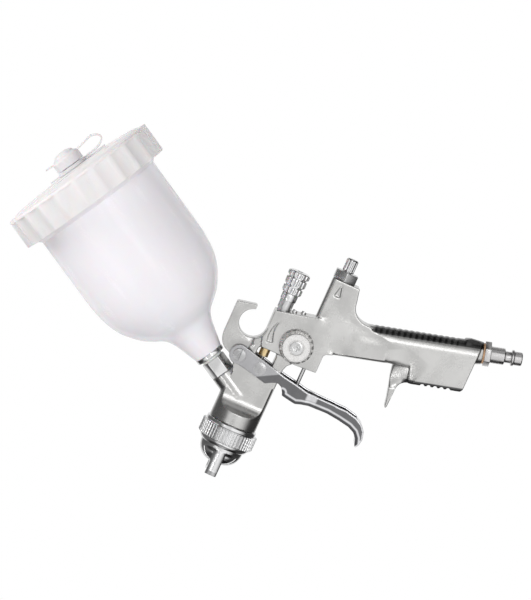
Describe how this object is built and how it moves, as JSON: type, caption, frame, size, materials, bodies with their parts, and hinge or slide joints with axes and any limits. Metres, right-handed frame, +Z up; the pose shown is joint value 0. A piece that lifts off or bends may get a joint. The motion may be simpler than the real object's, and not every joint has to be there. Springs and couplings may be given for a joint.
{
  "type": "gravity-feed spray gun",
  "caption": "Gravity-feed air spray gun: tilted plastic cup with a fluted lid, knurled air cap ring, hook, curved trigger, raked grip and plug inlet.",
  "frame": {"origin": "on the spray axis at the air cap's face, where the spray leaves", "axes": "-X is the way it sprays, +Z is up with the grip hanging below, and the gun is flat in Y"},
  "size_m": [0.1866, 0.1064, 0.3344],
  "materials": {
    "cast": "satin cast and milled",
    "machined": "turned",
    "bright": "bright turned and knurled",
    "cap_metal": "polished turned",
    "trigger_metal": "polished",
    "steel": "turned",
    "spring_wire": "drawn wire",
    "brass": "turned",
    "seal_plastic": "smooth",
    "washer": "pressed fibre",
    "cup_plastic": "milky, satin",
    "lid_plastic": "milky, satin",
    "soft_plastic": "soft, satin"
  },
  "bodies": {
    "gun": {"gun_body": "cast", "fluid_nozzle": "machined", "air_distributor": "machined", "needle_packing": "seal_plastic", "packing_nut": "brass", "needle_guide": "machined", "needle_spring": "spring_wire", "air_valve_seat": "brass", "air_valve_gland": "machined", "air_valve_spring": "spring_wire", "air_valve_nut": "bright", "fan_valve_bush": "machined", "trigger_pivot_pin": "steel", "trigger_pivot_screw": "steel", "cup_adapter": "bright", "cup_seal": "seal_plastic", "passage_plugs": "steel", "inlet_washer": "washer", "air_inlet_plug": "steel"},
    "cap_ring": {"air_cap_ring": "bright"},
    "cap": {"air_cap": "cap_metal", "air_cap_seal": "seal_plastic"},
    "needle": {"fluid_needle": "steel", "needle_sleeve": "brass"},
    "air_valve": {"air_valve_stem": "steel", "air_valve_seal": "seal_plastic"},
    "trigger_lever": {"trigger": "trigger_metal", "needle_pusher": "steel"},
    "lock_ring": {"fluid_lock_ring": "bright"},
    "fluid_stop": {"fluid_knob": "bright"},
    "micrometer": {"air_micrometer": "bright"},
    "fan_control": {"fan_valve_spool": "brass", "fan_dial": "bright", "fan_dial_screw": "steel"},
    "cup": {"cup_bush": "bright", "cup_strainer": "soft_plastic", "paint_cup": "cup_plastic"},
    "lid_seal": {"lid_gasket": "seal_plastic"},
    "lid": {"cup_lid": "lid_plastic", "vent_base": "soft_plastic", "vent_strap": "soft_plastic"},
    "vent": {"vent_cap": "soft_plastic"}
  },
  "joints": [
    {"name": "trigger_pull", "type": "hinge", "parent": "gun", "child": "trigger_lever", "pos_m": [0.0713, 0, 0.0143], "axis": [0, -1, 0], "range_deg": [0, 13], "stiffness_Nm_per_rad": 1.6, "springref_deg": -20.05},
    {"name": "needle_travel", "type": "slide", "parent": "gun", "child": "needle", "axis": [1, 0, 0], "range_m": [0, 0.0036], "deforming": ["needle_spring"]},
    {"name": "air_valve_travel", "type": "slide", "parent": "gun", "child": "air_valve", "axis": [1, 0, 0], "range_m": [0, 0.0098], "deforming": ["air_valve_spring"]},
    {"name": "fluid_stop_turn", "type": "hinge", "parent": "gun", "child": "fluid_stop", "pos_m": [0.127, 0, 0], "axis": [1, 0, 0], "range_deg": [-720, 720]},
    {"name": "lock_ring_turn", "type": "hinge", "parent": "gun", "child": "lock_ring", "pos_m": [0.117, 0, 0], "axis": [1, 0, 0], "range_deg": [-720, 720]},
    {"name": "micrometer_turn", "type": "hinge", "parent": "gun", "child": "micrometer", "pos_m": [0.15, 0, -0.0275], "axis": [1, 0, 0], "range_deg": [-360, 360]},
    {"name": "fan_turn", "type": "hinge", "parent": "gun", "child": "fan_control", "pos_m": [0.091, 0, -0.0164], "axis": [0, 1, 0], "range_deg": [-270, 270]},
    {"name": "cap_ring_turn", "type": "hinge", "parent": "gun", "child": "cap_ring", "pos_m": [0.02, 0, 0], "axis": [1, 0, 0], "continuous": true},
    {"name": "cap_turn", "type": "hinge", "parent": "gun", "child": "cap", "pos_m": [0.01, 0, 0], "axis": [1, 0, 0], "range_deg": [0, 90]},
    {"name": "cup_turn", "type": "hinge", "parent": "gun", "child": "cup", "pos_m": [0.06175, 0, 0.02988], "axis": [0.5, 0, 0.866], "continuous": true},
    {"name": "lid_lift", "type": "slide", "parent": "cup", "child": "lid_seal", "axis": [0.5, 0, 0.866], "range_m": [0, 0.06]},
    {"name": "lid_turn", "type": "hinge", "parent": "lid_seal", "child": "lid", "pos_m": [0.133, 0, 0.15329], "axis": [0.5, 0, 0.866], "continuous": true},
    {"name": "vent_lift", "type": "slide", "parent": "lid", "child": "vent", "axis": [0.5, 0, 0.866], "range_m": [0, 0.012], "deforming": ["vent_strap"]}
  ],
  "couplings": [
    {"joint": "needle_travel", "follows": "trigger_pull", "m_per_rad": 0.0152},
    {"joint": "air_valve_travel", "follows": "trigger_pull", "m_per_rad": 0.0425}
  ]
}
